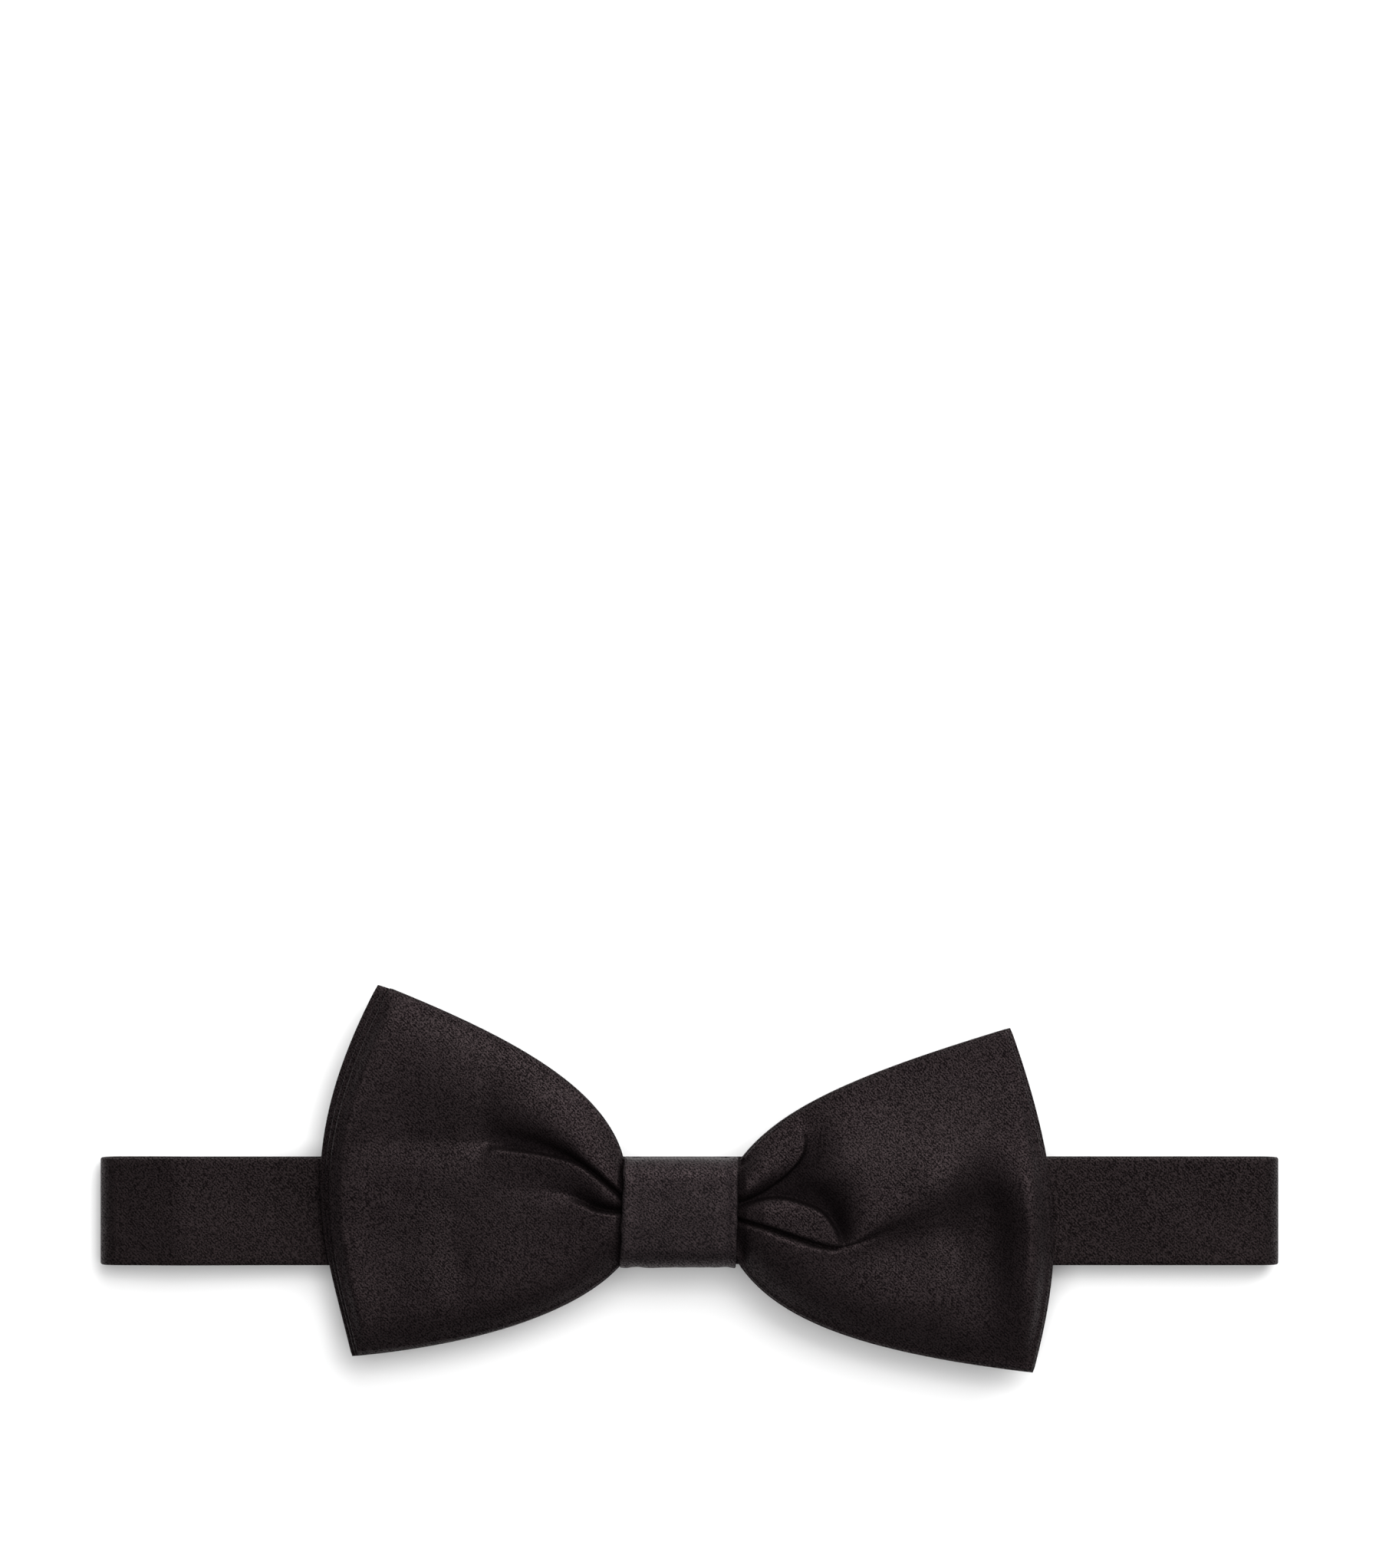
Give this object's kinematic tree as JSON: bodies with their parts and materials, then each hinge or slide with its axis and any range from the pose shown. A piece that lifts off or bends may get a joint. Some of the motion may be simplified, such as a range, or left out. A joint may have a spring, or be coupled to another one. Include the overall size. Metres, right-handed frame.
{
  "type": "bow tie",
  "caption": "Pre-tied butterfly bow tie: a front and a rear bow gathered in a wrapped knot on a folded satin neckband with a sliding length adjuster and a hook and eye clasp.",
  "frame": {"origin": "on the table under the middle of the tie's outline, 1.55 mm right of and 5.9 mm above the middle of the knot", "axes": "+X along the neckband to the right of the front, +Y towards the top edge of the bow, +Z out of the front; the neckband lies folded behind the bow, on the table"},
  "size_m": [0.2088, 0.068, 0.0174],
  "materials": {
    "bow_satin": "black satin with a slight plum cast and a very fine diagonal weave",
    "band_satin": "black satin, pressed flat",
    "interlining": "dull dark grey woven interlining",
    "thread": "black sewing thread",
    "nickel": "nickel plate, lightly worn"
  },
  "bodies": {
    "bow": {"front_bow_face": "bow_satin", "front_bow_interlining": "interlining", "front_bow_backing": "bow_satin", "rear_bow_face": "bow_satin", "rear_bow_interlining": "interlining", "rear_bow_backing": "bow_satin", "waist_binding": "thread", "knot_band": "bow_satin", "knot_lining": "interlining", "knot_stitches": "thread", "neckband_front": "band_satin", "neckband_front_interlining": "interlining"},
    "left_band": {"left_fold": "band_satin", "neckband_left": "band_satin", "neckband_left_interlining": "interlining", "adjuster_main_ply": "band_satin"},
    "hook_carrier": {"hook_bight": "band_satin", "adjuster_return_ply": "band_satin"},
    "slide": {"slide_adjuster": "nickel", "slide_strap_end": "band_satin", "slide_bar_tack": "thread"},
    "hook": {"hook": "nickel"},
    "right_band": {"right_fold": "band_satin", "neckband_right": "band_satin", "neckband_right_interlining": "interlining", "eye_strap_loop": "band_satin", "eye_bar_tack": "thread"},
    "eye": {"eye": "nickel"}
  },
  "joints": [
    {"name": "left_fold_turn", "type": "hinge", "parent": "bow", "child": "left_band", "pos_m": [-0.10075, -0.0059, 0.0036], "axis": [0, 1, 0], "range_deg": [0, 179.5], "deforming": ["left_fold"]},
    {"name": "right_fold_turn", "type": "hinge", "parent": "bow", "child": "right_band", "pos_m": [0.10075, -0.0059, 0.0036], "axis": [0, -1, 0], "range_deg": [0, 179.5], "deforming": ["right_fold"]},
    {"name": "size_adjust", "type": "slide", "parent": "left_band", "child": "hook_carrier", "axis": [1, 0, 0], "range_m": [-0.027, 0], "deforming": ["adjuster_main_ply"]},
    {"name": "slide_travel", "type": "slide", "parent": "hook_carrier", "child": "slide", "axis": [1, 0, 0], "range_m": [-0.027, 0], "deforming": ["adjuster_return_ply"]},
    {"name": "hook_pivot", "type": "hinge", "parent": "hook_carrier", "child": "hook", "pos_m": [0.02945, -0.0059, 0.0021], "axis": [0, 1, 0], "range_deg": [-6, 90]},
    {"name": "eye_pivot", "type": "hinge", "parent": "right_band", "child": "eye", "pos_m": [0.0598, -0.0059, 0.0014], "axis": [0, -1, 0], "range_deg": [-20, 90]}
  ],
  "couplings": [
    {"joint": "slide_travel", "follows": "size_adjust", "ratio": 1}
  ]
}
